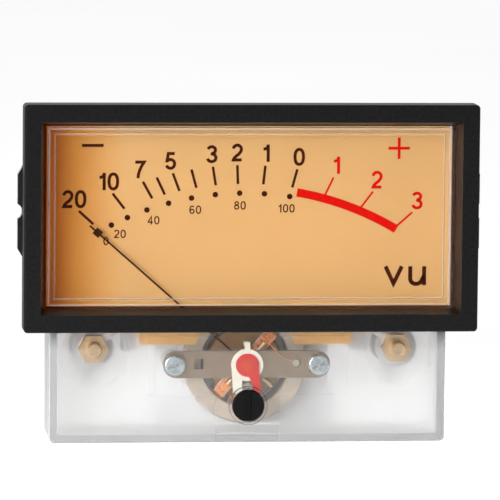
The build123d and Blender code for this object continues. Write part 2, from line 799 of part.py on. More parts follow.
with BuildPart() as zero_screw:
    with BuildSketch(at(5.85)):
        with Locations((0, KNOB_Z)):
            Circle(KNOB_R)
    extrude(amount=5.85 - KNOB_FRONT)
    fillet(zero_screw.faces().sort_by(Axis.Y)[0].edges(), 0.3)
    with BuildSketch(at(5.2)):
        with Locations((0, KNOB_Z)):
            Rectangle(1.4, 7)
    extrude(amount=1, mode=Mode.SUBTRACT)
    with BuildSketch(at(6.72)):
        with Locations((0, KNOB_Z)):
            Circle(1.55)
    extrude(amount=6.72 - 5.85)
    with BuildSketch(at(7.0)):
        with Locations((0, KNOB_Z)):
            Circle(0.8)
    extrude(amount=0.28)

zero_screw.part.label = "zero_screw"
export_step(zero_screw.part, "parts/zero_screw.step")

with BuildPart() as zero_crank:
    with BuildSketch(at(7.02)):
        with Locations((0, KNOB_Z)):
            Circle(2.2)
        with Locations((0, KNOB_Z + PIN_OFFSET)):
            Circle(PIN_R)
        with Locations((0, KNOB_Z + PIN_OFFSET / 2)):
            Rectangle(1.8, PIN_OFFSET)
        with Locations((0, KNOB_Z)):
            Circle(0.82, mode=Mode.SUBTRACT)
    extrude(amount=0.28)
    with BuildSketch(at(8.3)):
        with Locations((0, KNOB_Z + PIN_OFFSET)):
            Circle(PIN_R)
    extrude(amount=1.4)

zero_crank.part.label = "zero_crank"
export_step(zero_crank.part, "parts/zero_crank.step")

# ---------------------------------------------------------------- terminals

with BuildPart() as terminal_studs:
    with BuildSketch(at(TOTAL_DEPTH)):
        with Locations((-STUD_X, STUD_Z), (STUD_X, STUD_Z)):
            Circle(STUD_R)
    extrude(amount=TOTAL_DEPTH - STUD_FRONT)
    chamfer(terminal_studs.edges().filter_by(GeomType.CIRCLE), 0.25)
    # the free end beyond the outer nut is turned down a little
    with BuildSketch(at(TOTAL_DEPTH)):
        with Locations((-STUD_X, STUD_Z), (STUD_X, STUD_Z)):
            Circle(STUD_R + 0.1)
            Circle(STUD_END_R, mode=Mode.SUBTRACT)
    extrude(amount=STUD_END_L, mode=Mode.SUBTRACT)
    with BuildSketch(at(STUD_FRONT + 0.35)):
        with Locations((-STUD_X, STUD_Z), (STUD_X, STUD_Z)):
            Circle(0.75)
    extrude(amount=1, mode=Mode.SUBTRACT)

terminal_studs.part.label = "terminal_studs"
export_step(terminal_studs.part, "parts/terminal_studs.step")

with BuildPart() as inner_terminal_nuts:
    with BuildSketch(at(NUT_FRONT + NUT_H)):
        with Locations((-STUD_X, STUD_Z), (STUD_X, STUD_Z)):
            RegularPolygon(NUT_AF / 2, 6, major_radius=False)
            Circle(STUD_R, mode=Mode.SUBTRACT)
    extrude(amount=NUT_H)

inner_terminal_nuts.part.label = "inner_terminal_nuts"
export_step(inner_terminal_nuts.part, "parts/inner_terminal_nuts.step")

with BuildPart() as inner_solder_tags:
    for side in (-1, 1):
        with BuildSketch(at(TOWER_FRONT)):
            with Locations((side * STUD_X, STUD_Z)):
                Circle(2.9)
            with Locations((side * (STUD_X - 3.2), STUD_Z + 2.6)):
                Rectangle(4.4, 1.6, rotation=-side * 38)
            with Locations((side * STUD_X, STUD_Z)):
                Circle(STUD_R, mode=Mode.SUBTRACT)
        extrude(amount=TOWER_FRONT - NUT_FRONT - NUT_H)

inner_solder_tags.part.label = "inner_solder_tags"
export_step(inner_solder_tags.part, "parts/inner_solder_tags.step")

with BuildPart() as outer_washers:
    with BuildSketch(at(CASE_BACK + 0.5)):
        with Locations((-STUD_X, STUD_Z), (STUD_X, STUD_Z)):
            Circle(3.5)
            Circle(STUD_R + 0.02, mode=Mode.SUBTRACT)
    extrude(amount=0.5)

outer_washers.part.label = "outer_washers"
export_step(outer_washers.part, "parts/outer_washers.step")

with BuildPart() as outer_solder_tags:
    with BuildSketch(at(CASE_BACK + 0.9)):
        with Locations((-STUD_X, STUD_Z), (STUD_X, STUD_Z)):
            Circle(2.9)
        with Locations((-STUD_X, STUD_Z - 5), (STUD_X, STUD_Z - 5)):
            Rectangle(2.6, 7)
        with Locations((-STUD_X, STUD_Z), (STUD_X, STUD_Z)):
            Circle(STUD_R + 0.02, mode=Mode.SUBTRACT)
        with Locations((-STUD_X, STUD_Z - 6.8), (STUD_X, STUD_Z - 6.8)):
            Circle(0.7, mode=Mode.SUBTRACT)
    extrude(amount=0.4)

outer_solder_tags.part.label = "outer_solder_tags"
export_step(outer_solder_tags.part, "parts/outer_solder_tags.step")

with BuildPart() as outer_terminal_nuts:
    with BuildSketch(at(CASE_BACK + 3.3)):
        with Locations((-STUD_X, STUD_Z), (STUD_X, STUD_Z)):
            RegularPolygon(5.5 / 2, 6, major_radius=False)
            Circle(STUD_R, mode=Mode.SUBTRACT)
    extrude(amount=2.4)

outer_terminal_nuts.part.label = "outer_terminal_nuts"
export_step(outer_terminal_nuts.part, "parts/outer_terminal_nuts.step")

# insulated leads from the inner tags to the two sides of the movement
with BuildPart() as left_lead_wire:
    with BuildLine() as left_lead_path:
        Spline(
            (-STUD_X + 4.7, 12.3 - HALF_DEPTH, STUD_Z + 4.0),
            (-22.5, 12.9 - HALF_DEPTH, STUD_Z + 5.6),
            (-15.0, 14.2 - HALF_DEPTH, STUD_Z + 6.2),
            (-10.6, 15.0 - HALF_DEPTH, STUD_Z + 6.0),
        )
    with BuildSketch(Plane(origin=left_lead_path.line @ 0, z_dir=left_lead_path.line % 0)):
        Circle(0.32)
    sweep()

left_lead_wire.part.label = "left_lead_wire"
export_step(left_lead_wire.part, "parts/left_lead_wire.step")

with BuildPart() as right_lead_wire:
    with BuildLine() as right_lead_path:
        Spline(
            (STUD_X - 4.7, 12.3 - HALF_DEPTH, STUD_Z + 4.0),
            (22.5, 12.9 - HALF_DEPTH, STUD_Z + 5.6),
            (15.0, 14.2 - HALF_DEPTH, STUD_Z + 6.2),
            (10.6, 15.0 - HALF_DEPTH, STUD_Z + 6.0),
        )
    with BuildSketch(Plane(origin=right_lead_path.line @ 0, z_dir=right_lead_path.line % 0)):
        Circle(0.32)
    sweep()

right_lead_wire.part.label = "right_lead_wire"
export_step(right_lead_wire.part, "parts/right_lead_wire.step")

# ---------------------------------------------------------------- dial lamps

with BuildPart() as lamp_board:
    with BuildSketch(at(FLOOR_DEPTH)):
        with Locations((0, LAMP_Z)):
            Rectangle(48, 7)
            with Locations((-LAMP_PIN_X, 0), (LAMP_PIN_X, 0)):
                Circle(LAMP_PIN_R + 0.01, mode=Mode.SUBTRACT)
    extrude(amount=1.2)

lamp_board.part.label = "lamp_board"
export_step(lamp_board.part, "parts/lamp_board.step")

with BuildPart() as lamps:
    with BuildSketch(at(FLOOR_DEPTH - 1.2)):
        with Locations((-LAMP_X, LAMP_Z), (LAMP_X, LAMP_Z)):
            Circle(1.5)
    extrude(amount=2.8)
    fillet(lamps.faces().sort_by(Axis.Y)[0].edges(), 0.9)
    fillet(lamps.faces().sort_by(Axis.Y)[1].edges(), 0.9)

lamps.part.label = "lamps"
export_step(lamps.part, "parts/lamps.step")

with BuildPart() as lamp_pins:
    with BuildSketch(at(CASE_BACK + 0.2)):
        with Locations((-LAMP_PIN_X, LAMP_Z), (LAMP_PIN_X, LAMP_Z)):
            Circle(LAMP_PIN_R)
    extrude(amount=CASE_BACK + 0.2 - 18.9)
    with BuildSketch(at(LAMP_PIN_BACK)):
        with Locations((-LAMP_PIN_X, LAMP_Z), (LAMP_PIN_X, LAMP_Z)):
            Circle(LAMP_PIN_END_R)
    extrude(amount=LAMP_PIN_BACK - CASE_BACK - 0.2)

lamp_pins.part.label = "lamp_pins"
export_step(lamp_pins.part, "parts/lamp_pins.step")
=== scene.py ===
import bpy
import bmesh
import math
from mathutils import Matrix, Vector


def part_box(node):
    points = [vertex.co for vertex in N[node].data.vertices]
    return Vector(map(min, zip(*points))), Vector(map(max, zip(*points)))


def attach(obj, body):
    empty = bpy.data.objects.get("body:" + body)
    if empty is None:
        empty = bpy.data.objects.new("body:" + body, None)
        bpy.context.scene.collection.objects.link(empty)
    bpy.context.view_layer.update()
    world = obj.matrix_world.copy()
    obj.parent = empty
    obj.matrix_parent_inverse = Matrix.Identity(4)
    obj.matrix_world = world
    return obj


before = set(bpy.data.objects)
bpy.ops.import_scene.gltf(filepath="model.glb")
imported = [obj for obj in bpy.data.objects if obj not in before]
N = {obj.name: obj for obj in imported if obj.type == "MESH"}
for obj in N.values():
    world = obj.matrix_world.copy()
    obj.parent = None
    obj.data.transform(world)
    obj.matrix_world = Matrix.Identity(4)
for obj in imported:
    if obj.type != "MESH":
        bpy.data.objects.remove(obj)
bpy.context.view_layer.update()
MM = 0.001

# ------------------------------------------------------------------ places taken from the frame
bezel_lo, bezel_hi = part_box("front_bezel")
dial_lo, dial_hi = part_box("dial_plate")
cover_lo, cover_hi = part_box("clear_cover")
yoke_lo, yoke_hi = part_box("yoke_ring")
bridge_lo, bridge_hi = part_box("front_bridge")
stud_lo, stud_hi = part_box("terminal_studs")
knob_lo, knob_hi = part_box("zero_screw")
window_z = (bezel_lo.z + bezel_hi.z) / 2
axis_z = (yoke_lo.z + yoke_hi.z) / 2
bridge_z = (bridge_lo.z + bridge_hi.z) / 2
bridge_half_h = (bridge_hi.z - bridge_lo.z) / 2
terminal_z = (stud_lo.z + stud_hi.z) / 2
terminal_x = stud_hi.x - (stud_hi.z - stud_lo.z) / 2
knob_z = (knob_lo.z + knob_hi.z) / 2
knob_r = (knob_hi.x - knob_lo.x) / 2
dial_front = dial_lo.y

# features inside one piece, in metres
SHOULDER_Z = 0.0226             # the cover is clear plate below this height
LENS_HALF_W = 0.04005           # outside of the raised window
LENS_HALF_H = 0.017675
LENS_WALL = 0.0012
LENS_DEPTH = 0.0014             # the raised window reaches this far back from its front
PLATE_INSIDE = 0.0022           # the inner face of the lower plate is further back than this
REVEAL_HALF_W = 0.0417          # the bezel's inner slopes lie inside these
REVEAL_HALF_H = 0.01905
EAR_X = 0.04503                 # the bezel's ears lie outside this


# ------------------------------------------------------------------ node helpers
def new_material(name):
    material = bpy.data.materials.new(name)
    material.use_nodes = True
    nt = material.node_tree
    nt.nodes.clear()
    out = nt.nodes.new("ShaderNodeOutputMaterial")
    shader = nt.nodes.new("ShaderNodeBsdfPrincipled")
    nt.links.new(shader.outputs[0], out.inputs["Surface"])
    return material, nt, shader, out


def coords(nt, scale=(1, 1, 1)):
    source = nt.nodes.new("ShaderNodeTexCoord")
    mapping = nt.nodes.new("ShaderNodeMapping")
    mapping.inputs["Scale"].default_value = scale
    nt.links.new(source.outputs["Object"], mapping.inputs["Vector"])
    return mapping.outputs["Vector"]


def split(nt, vector):
    parts = nt.nodes.new("ShaderNodeSeparateXYZ")
    nt.links.new(vector, parts.inputs[0])
    return parts.outputs["X"], parts.outputs["Y"], parts.outputs["Z"]


def object_place(nt):
    source = nt.nodes.new("ShaderNodeTexCoord")
    return split(nt, source.outputs["Object"])


def noise(nt, vector, scale, detail=2.0, rough=0.5):
    node = nt.nodes.new("ShaderNodeTexNoise")
    node.inputs["Scale"].default_value = scale
    node.inputs["Detail"].default_value = detail
    node.inputs["Roughness"].default_value = rough
    nt.links.new(vector, node.inputs["Vector"])
    return node.outputs["Fac"]


def ramp(nt, value, stops):
    node = nt.nodes.new("ShaderNodeValToRGB")
    ends = node.color_ramp.elements
    ends[0].position = stops[0][0]
    ends[0].color = (*stops[0][1], 1)
    ends[1].position = stops[-1][0]
    ends[1].color = (*stops[-1][1], 1)
    for position, colour in stops[1:-1]:
        stop = ends.new(position)
        stop.color = (*colour, 1)
    nt.links.new(value, node.inputs["Fac"])
    return node.outputs["Color"]


def span(nt, value, lo, hi, a=0.0, b=1.0, smooth=False):
    """Map lo..hi to a..b, held at both ends."""
    node = nt.nodes.new("ShaderNodeMapRange")
    if smooth:
        node.interpolation_type = "SMOOTHSTEP"
    node.inputs["From Min"].default_value = lo
    node.inputs["From Max"].default_value = hi
    node.inputs["To Min"].default_value = a
    node.inputs["To Max"].default_value = b
    nt.links.new(value, node.inputs["Value"])
    return node.outputs["Result"]


def bump(nt, shader, height, strength, distance):
    node = nt.nodes.new("ShaderNodeBump")
    node.inputs["Distance"].default_value = distance
    if isinstance(strength, float):
        node.inputs["Strength"].default_value = strength
    else:
        nt.links.new(strength, node.inputs["Strength"])
    nt.links.new(height, node.inputs["Height"])
    nt.links.new(node.outputs["Normal"], shader.inputs["Normal"])


def calculator(nt):
    """A function that adds one math node and gives its result."""
    def calc(operation, *values):
        node = nt.nodes.new("ShaderNodeMath")
        node.operation = operation
        for socket, value in zip(node.inputs, values):
            if isinstance(value, (int, float)):
                socket.default_value = value
            else:
                nt.links.new(value, socket)
        return node.outputs[0]
    return calc


def mix_colour(nt, factor, first, second):
    """Blend a colour, or a colour socket, towards a second colour."""
    node = nt.nodes.new("ShaderNodeMix")
    node.data_type = "RGBA"
    if isinstance(first, tuple):
        node.inputs[6].default_value = (*first, 1)
    else:
        nt.links.new(first, node.inputs[6])
    node.inputs[7].default_value = (*second, 1)
    nt.links.new(factor, node.inputs[0])
    return node.outputs[2]


def mix_shader(nt, factor, first, second):
    node = nt.nodes.new("ShaderNodeMixShader")
    if isinstance(factor, float):
        node.inputs["Fac"].default_value = factor
    else:
        nt.links.new(factor, node.inputs["Fac"])
    nt.links.new(first, node.inputs[1])
    nt.links.new(second, node.inputs[2])
    return node.outputs[0]


def glow_through(nt, colour):
    node = nt.nodes.new("ShaderNodeBsdfTranslucent")
    node.inputs["Color"].default_value = (*colour, 1)
    return node.outputs[0]


def plain(name, colour, rough=0.5, metal=0.0, vary=0.08, scale=400, bump_mm=0.0, bump_scale=2500,
          stretch=(1, 1, 1), spec=0.5):
    """Principled material with colour and roughness variation, and an optional fine bump."""
    material, nt, shader, _ = new_material(name)
    vector = coords(nt, stretch)
    patches = noise(nt, vector, scale, 3)
    dark = tuple(max(0, c * (1 - vary)) for c in colour)
    light = tuple(min(1, c * (1 + vary)) for c in colour)
    nt.links.new(ramp(nt, patches, [(0.3, dark), (0.7, light)]), shader.inputs["Base Color"])
    nt.links.new(span(nt, patches, 0.3, 0.7, rough - 0.06, rough + 0.06), shader.inputs["Roughness"])
    shader.inputs["Metallic"].default_value = metal
    shader.inputs["Specular IOR Level"].default_value = spec
    if bump_mm:
        bump(nt, shader, noise(nt, vector, bump_scale, 2), 0.6, bump_mm * MM)
    return material


def matt(name, scale, dark, light, rough, spec, detail=3):
    """Dull material for inks and for the studio. Gives the node tree and shader for additions."""
    material, nt, shader, _ = new_material(name)
    vector = coords(nt)
    patches = noise(nt, vector, scale, detail)
    nt.links.new(ramp(nt, patches, [(0.3, dark), (0.7, light)]), shader.inputs["Base Color"])
    nt.links.new(span(nt, patches, 0.3, 0.7, *rough), shader.inputs["Roughness"])
    shader.inputs["Specular IOR Level"].default_value = spec
    return material, nt, shader, vector


def put(material, *nodes):
    for name in nodes:
        piece = N[name]
        piece.data.materials.clear()
        piece.data.materials.append(material)


# ------------------------------------------------------------------ materials
def black_moulding():
    """Fine spark-eroded grain outside, smoother slopes round the window with a painted reflection of the
    amber dial in their colour, glossy ears.
    """
    material, nt, shader, _ = new_material("black_moulding")
    calc = calculator(nt)
    vector = coords(nt)
    grain = noise(nt, vector, 3200, 3, 0.6)
    speck = noise(nt, vector, 1500, 2, 0.5)
    x, _, z = object_place(nt)
    across = calc("ABSOLUTE", x)
    up = calc("ABSOLUTE", calc("SUBTRACT", z, window_z))
    reveal = calc("MULTIPLY", calc("LESS_THAN", across, REVEAL_HALF_W),
                  calc("LESS_THAN", up, REVEAL_HALF_H))
    black = ramp(nt, speck, [(0.35, (0.0042, 0.0043, 0.0048)), (0.68, (0.0088, 0.0088, 0.0094))])
    # painted reflection: the slopes round the window are tinted dark amber as if mirroring the lit dial
    painted_amber_reflection = (0.024, 0.012, 0.008)
    nt.links.new(mix_colour(nt, reveal, black, painted_amber_reflection), shader.inputs["Base Color"])
    rough = calc("SUBTRACT", 0.50, calc("MULTIPLY", reveal, 0.24))
    nt.links.new(calc("ADD", rough, calc("MULTIPLY", speck, 0.12)), shader.inputs["Roughness"])
    shader.inputs["Specular IOR Level"].default_value = 0.13
    bump(nt, shader, grain, calc("SUBTRACT", 0.55, calc("MULTIPLY", reveal, 0.45)), 0.00006)
    ears = calc("GREATER_THAN", across, EAR_X)
    nt.links.new(calc("MULTIPLY", ears, 0.9), shader.inputs["Coat Weight"])
    shader.inputs["Coat Roughness"].default_value = 0.22
    return material


def clear_polystyrene():
    """Polished window, frosted lower plate, painted highlight on the window rim, painted shade where the
    cover runs under the bezel and round the edge of the zero-screw ring.
    """
    near_rough = 0.07
    far_rough = 0.36
    material, nt, shader, out = new_material("clear_polystyrene")
    calc = calculator(nt)
    x, y, z = object_place(nt)
    across = calc("ABSOLUTE", x)

    def distance(a, b):
        return calc("SQRT", calc("ADD", calc("MULTIPLY", a, a), calc("MULTIPLY", b, b)))

    # inner face of the plate, below the window
    inner = calc("MULTIPLY", calc("LESS_THAN", z, SHOULDER_Z),
                 calc("GREATER_THAN", y, cover_lo.y + PLATE_INSIDE))
    # the frosting blurs less over the terminals, the bridge and the lever, which lie close behind it
    from_terminal = distance(calc("SUBTRACT", across, terminal_x), calc("SUBTRACT", z, terminal_z))
    near_terminal = calc("SUBTRACT", from_terminal, 0.0035)
    above_bridge = calc("ABSOLUTE", calc("SUBTRACT", z, bridge_z))
    near_bridge = calc("MAXIMUM", calc("SUBTRACT", above_bridge, bridge_half_h),
                       calc("SUBTRACT", across, bridge_hi.x))
    near_lever = calc("MAXIMUM", calc("SUBTRACT", across, knob_r),
                      calc("SUBTRACT", z, bridge_hi.z + 0.001))
    near = calc("MINIMUM", near_terminal, calc("MINIMUM", near_bridge, near_lever))
    frosting = span(nt, near, 0.0, 0.0055, near_rough, far_rough, smooth=True)

    # how far a point lies outside the raised window; negative inside it
    up = calc("ABSOLUTE", calc("SUBTRACT", z, window_z))
    reach = calc("MAXIMUM", calc("SUBTRACT", across, LENS_HALF_W), calc("SUBTRACT", up, LENS_HALF_H))
    raised = calc("MULTIPLY", calc("LESS_THAN", y, cover_lo.y + LENS_DEPTH),
                  calc("LESS_THAN", reach, 0.0003))
    wall = calc("MULTIPLY", raised, calc("GREATER_THAN", reach, -LENS_WALL))
    rim = calc("MULTIPLY", raised, calc("GREATER_THAN", reach, -0.0004))
    # inner corner of the side walls
    corner = calc("MULTIPLY", calc("GREATER_THAN", reach, -0.00158), calc("LESS_THAN", reach, -0.00119))
    corner_depth = calc("MULTIPLY", raised, calc("GREATER_THAN", y, cover_lo.y + 0.0011))
    corner = calc("MULTIPLY", corner, corner_depth)

    rough = calc("ADD", calc("MULTIPLY", inner, frosting), calc("MULTIPLY", wall, 0.10))
    nt.links.new(calc("ADD", rough, 0.02), shader.inputs["Roughness"])
    shader.inputs["Transmission Weight"].default_value = 1.0
    shader.inputs["IOR"].default_value = 1.49

    # painted shade: the flange under the bezel and the outer edge of the collar are coloured dark
    painted_flange_shade = calc("MULTIPLY", calc("GREATER_THAN", reach, 0.0002), calc("GREATER_THAN", z, SHOULDER_Z))
    from_knob = distance(x, calc("SUBTRACT", z, knob_z))
    painted_collar_outline = calc("MULTIPLY", calc("GREATER_THAN", from_knob, knob_r + 0.00052),
                  calc("LESS_THAN", from_knob, knob_r + 0.00069))
    painted_collar_outline = calc("MULTIPLY", painted_collar_outline, calc("LESS_THAN", y, cover_lo.y + LENS_DEPTH))
    # painted shade colours for the flange and the collar edge
    colour = mix_colour(nt, painted_flange_shade, (0.985, 0.988, 0.99), (0.17, 0.13, 0.13))
    colour = mix_colour(nt, painted_collar_outline, colour, (0.30, 0.29, 0.28))
    nt.links.new(colour, shader.inputs["Base Color"])

    # a little of the light is scattered by the frosted face; the white added on the window rim and its inner
    # corner is painted highlight
    frost_scatter_and_painted_highlight = nt.nodes.new("ShaderNodeBsdfDiffuse")
    frost_scatter_and_painted_highlight.inputs["Color"].default_value = (0.90, 0.90, 0.91, 1)
    # painted highlight: diffuse white on the window rim and its inner corner
    painted_rim_highlight = calc("ADD", calc("MULTIPLY", rim, 0.30), calc("MULTIPLY", corner, 0.17))
    scatter_and_highlight_amount = calc("ADD", calc("MULTIPLY", inner, 0.006), painted_rim_highlight)
    surface = mix_shader(nt, scatter_and_highlight_amount, shader.outputs[0], frost_scatter_and_painted_highlight.outputs[0])

    # light passes straight through to what lies behind
    light_path = nt.nodes.new("ShaderNodeLightPath")
    passing = nt.nodes.new("ShaderNodeBsdfTransparent")
    passing.inputs["Color"].default_value = (0.95, 0.955, 0.96, 1)
    surface = mix_shader(nt, light_path.outputs["Is Shadow Ray"], surface, passing.outputs[0])
    nt.links.new(surface, out.inputs["Surface"])
    return material


def milky(name, base, back, share):
    """Milky plastic: base is its own grey level, back what glows through, share how much does."""
    material, nt, shader, out = new_material(name)
    vector = coords(nt)
    patches = noise(nt, vector, 120, 3)
    dark = (base - 0.02, base - 0.022, base - 0.023)
    light = (base + 0.02, base + 0.018, base + 0.017)
    nt.links.new(ramp(nt, patches, [(0.3, dark), (0.7, light)]), shader.inputs["Base Color"])
    nt.links.new(span(nt, patches, 0.3, 0.7, 0.32, 0.42), shader.inputs["Roughness"])
    bump(nt, shader, noise(nt, vector, 900, 2), 0.2, 0.00005)
    glow = glow_through(nt, (back, back - 0.002, back - 0.004))
    nt.links.new(mix_shader(nt, share, shader.outputs[0], glow), out.inputs["Surface"])
    return material


def amber_dial():
    """Translucent amber sheet, with painted shade: darker and deeper orange towards its left end, where the
    bezel shades it.
    """
    material, nt, shader, out = new_material("amber_dial")
    vector = coords(nt)
    patches = noise(nt, vector, 60, 3)
    x, _, _ = object_place(nt)
    along = span(nt, x, dial_lo.x + 0.001, dial_lo.x + 0.016)
    # painted shade: over the dial's left 16 mm the colour darkens and deepens, standing in for the bezel's
    # shadow
    painted_left_shade = ramp(nt, along, [(0.0, (1.0, 0.44, 0.11)), (0.4, (1.0, 0.72, 0.34)), (1.0, (1.0, 1.0, 1.0))])
    tint = nt.nodes.new("ShaderNodeVectorMath")
    tint.operation = "MULTIPLY"
    amber = ramp(nt, patches, [(0.3, (0.80, 0.50, 0.195)), (0.7, (0.84, 0.525, 0.21))])
    nt.links.new(amber, tint.inputs[0])
    nt.links.new(painted_left_shade, tint.inputs[1])
    nt.links.new(tint.outputs[0], shader.inputs["Base Color"])
    shader.inputs["Specular IOR Level"].default_value = 0.25
    nt.links.new(span(nt, patches, 0.3, 0.7, 0.5, 0.6), shader.inputs["Roughness"])
    bump(nt, shader, noise(nt, vector, 1400, 2), 0.15, 0.00003)
    glow = glow_through(nt, (0.86, 0.44, 0.13))
    nt.links.new(mix_shader(nt, 0.3, shader.outputs[0], glow), out.inputs["Surface"])
    return material


put(black_moulding(), "front_bezel")
put(clear_polystyrene(), "clear_cover")
put(milky("milky_polystyrene", 0.75, 0.80, 0.72), "rear_case")
put(milky("milky_nylon", 0.82, 0.86, 0.42), "movement_cradle")
put(amber_dial(), "dial_plate")

# metals
put(plain("zinc_plated_steel", (0.44, 0.49, 0.50), 0.28, 1.0, 0.12, 700, 0.02, 3000),
    "dial_screws", "cradle_screws", "bridge_screws", "rear_bridge_screws")
put(plain("nickel_plated_iron", (0.235, 0.172, 0.12), 0.42, 0.75, 0.10, 500, 0.02, 1800, (1, 1, 6)),
    "front_bridge", "rear_bridge", "friction_washer")
put(plain("plated_yoke", (0.46, 0.385, 0.31), 0.42, 0.6, 0.10, 400, 0.02, 1800), "yoke_ring")
put(plain("ground_magnet", (0.24, 0.13, 0.055), 0.45, 0.35, 0.12, 900, 0.02, 2500), "core_magnet")
put(plain("turned_brass", (0.58, 0.41, 0.24), 0.34, 0.9, 0.10, 600, 0.02, 2600, (1, 8, 1)),
    "terminal_studs", "inner_terminal_nuts", "outer_terminal_nuts", "rear_jewel_screw", "jewel_lock_nut",
    "balance_weights", "lamp_pins")
put(plain("tinned_metal", (0.66, 0.65, 0.62), 0.34, 0.9, 0.10, 800, 0.03, 1500),
    "inner_solder_tags", "outer_solder_tags", "outer_washers", "rear_spring_anchor")
put(plain("dull_solder", (0.34, 0.30, 0.25), 0.5, 0.5, 0.15, 900, 0.03, 1500), "solder_blob")
put(plain("enamelled_copper", (0.72, 0.27, 0.10), 0.3, 0.6, 0.25, 2500, 0.05, 6000, (1, 14, 1)),
    "coil_winding", "lead_out_wire")
put(plain("bare_aluminium", (0.70, 0.70, 0.71), 0.35, 0.9, 0.08, 900, 0.02, 2600),
    "coil_former", "balance_cross")
put(plain("polished_steel", (0.42, 0.40, 0.36), 0.3, 0.8, 0.12, 900, 0.01, 3000),
    "front_staff", "rear_staff", "zero_crank")
put(plain("spring_bronze", (0.60, 0.38, 0.18), 0.3, 0.9, 0.12, 1200, 0.01, 3000),
    "front_hairspring", "rear_hairspring")

# plastics, paint, jewels and board
put(plain("brown_phenolic", (0.20, 0.085, 0.05), 0.45, 0.0, 0.2, 500, 0.03, 2000), "core_spacers")
put(plain("painted_pointer", (0.038, 0.010, 0.004), 0.6, 0.0, 0.25, 1200, 0.01, 4000, spec=0.05),
    "pointer", "pointer_vane")
put(plain("ruby_jewel", (0.50, 0.03, 0.06), 0.08, 0.0, 0.1, 800), "front_jewel", "rear_jewel")
put(plain("cream_nylon", (0.66, 0.63, 0.53), 0.45, 0.0, 0.05, 600, 0.02, 1600), "zero_lever")
put(plain("red_varnished_fibre", (0.50, 0.008, 0.001), 0.5, 0.0, 0.14, 700, 0.02, 1600, spec=0.04),
    "zero_fork_arm")
put(plain("red_sealing_lacquer", (0.50, 0.035, 0.003), 0.5, 0.0, 0.16, 900, 0.04, 1800, spec=0.04),
    "front_jewel_screw")
put(plain("black_zero_screw", (0.0032, 0.0034, 0.004), 0.36, 0.0, 0.25, 900, 0.03, 2600, spec=0.13),
    "zero_screw")
put(plain("red_insulation", (0.55, 0.04, 0.03), 0.4, 0.0, 0.12, 600), "left_lead_wire")
put(plain("black_insulation", (0.02, 0.02, 0.02), 0.4, 0.0, 0.2, 600), "right_lead_wire")
put(plain("laminate_board", (0.62, 0.54, 0.34), 0.5, 0.0, 0.10, 1400, 0.02, 3000), "lamp_board")
put(plain("frosted_lamp", (0.88, 0.84, 0.70), 0.25, 0.0, 0.06, 600), "lamps")

brown_ink, _, _, _ = matt("brown_ink", 900, (0.042, 0.007, 0.001), (0.066, 0.011, 0.002), (0.5, 0.65), 0.06)
red_ink, _, _, _ = matt("red_ink", 700, (0.60, 0.003, 0.0006), (0.68, 0.005, 0.001), (0.45, 0.6), 0.06)


# ------------------------------------------------------- printed scale, in mm about the movement axis
INK_THICKNESS = 0.03
INK_GAP = 0.001                 # the ink's back stands this far off the dial
PRINT_X, PRINT_Z = -0.40, 0.25  # the whole print sits this far off centre
STEP_LIFT = 0.004               # strokes that cross are raised by this, so that they share no face


def stroke_side(before, here, after, half_width):
    """Offset from a stroke's centre line to its left edge at one point."""
    first = Vector((here[0] - before[0], here[1] - before[1]))
    second = Vector((after[0] - here[0], after[1] - here[1]))
    if first.length < 1e-6:
        first = second
    if second.length < 1e-6:
        second = first
    first.normalize()
    second.normalize()
    along = first + second
    if along.length < 1e-6:
        along = first
    along.normalize()
    normal = Vector((-along.y, along.x))
    mitre = max(0.45, normal.dot(Vector((-first.y, first.x))))
    return normal * (half_width / mitre)


def ribbon(bm, points, width, closed=False, lift=0.0):
    """A flat ribbon of constant width along points (x, z), with a thin body."""
    n = len(points)
    front = dial_front - (INK_THICKNESS + lift) * MM
    back = dial_front - INK_GAP * MM
    rings = []
    for i, (x, z) in enumerate(points):
        if closed:
            before, after = points[i - 1], points[(i + 1) % n]
        else:
            before, after = points[max(i - 1, 0)], points[min(i + 1, n - 1)]
        side = stroke_side(before, (x, z), after, width / 2)
        left = (x + side.x, z + side.y)
        right = (x - side.x, z - side.y)
        ring = []
        for (px, pz), y in ((left, front), (right, front), (right, back), (left, back)):
            ring.append(bm.verts.new(((px + PRINT_X) * MM, y, axis_z + (pz + PRINT_Z) * MM)))
        rings.append(ring)
    for i in range(n if closed else n - 1):
        a, b = rings[i], rings[(i + 1) % n]
        for k in range(4):
            bm.faces.new((a[k], a[(k + 1) % 4], b[(k + 1) % 4], b[k]))
    if not closed:
        bm.faces.new(rings[0][::-1])
        bm.faces.new(rings[-1])


def disc(bm, x, z, radius, steps=24):
    rings = []
    for y in (dial_front - INK_THICKNESS * MM, dial_front - INK_GAP * MM):
        ring = []
        for i in range(steps):
            turn = 2 * math.pi * i / steps
            px = x + PRINT_X + radius * math.cos(turn)
            pz = z + PRINT_Z + radius * math.sin(turn)
            ring.append(bm.verts.new((px * MM, y, axis_z + pz * MM)))
        rings.append(ring)
    bm.faces.new(rings[0])
    bm.faces.new(rings[1][::-1])
    for i in range(steps):
        j = (i + 1) % steps
        bm.faces.new((rings[0][i], rings[1][i], rings[1][j], rings[0][j]))


def arc(cx, cy, rx, ry, start, end, steps=14):
    points = []
    for i in range(steps + 1):
        turn = math.radians(start + (end - start) * i / steps)
        points.append((cx + rx * math.cos(turn), cy + ry * math.sin(turn)))
    return points


def oval(cx, cy, rx, ry, power=2.4, steps=32):
    """A rounded oval; a larger power makes it squarer."""
    points = []
    for i in range(steps):
        turn = 2 * math.pi * i / steps
        c, s = math.cos(turn), math.sin(turn)
        px = cx + rx * math.copysign(abs(c) ** (2 / power), c)
        pz = cy + ry * math.copysign(abs(s) ** (2 / power), s)
        points.append((px, pz))
    return points


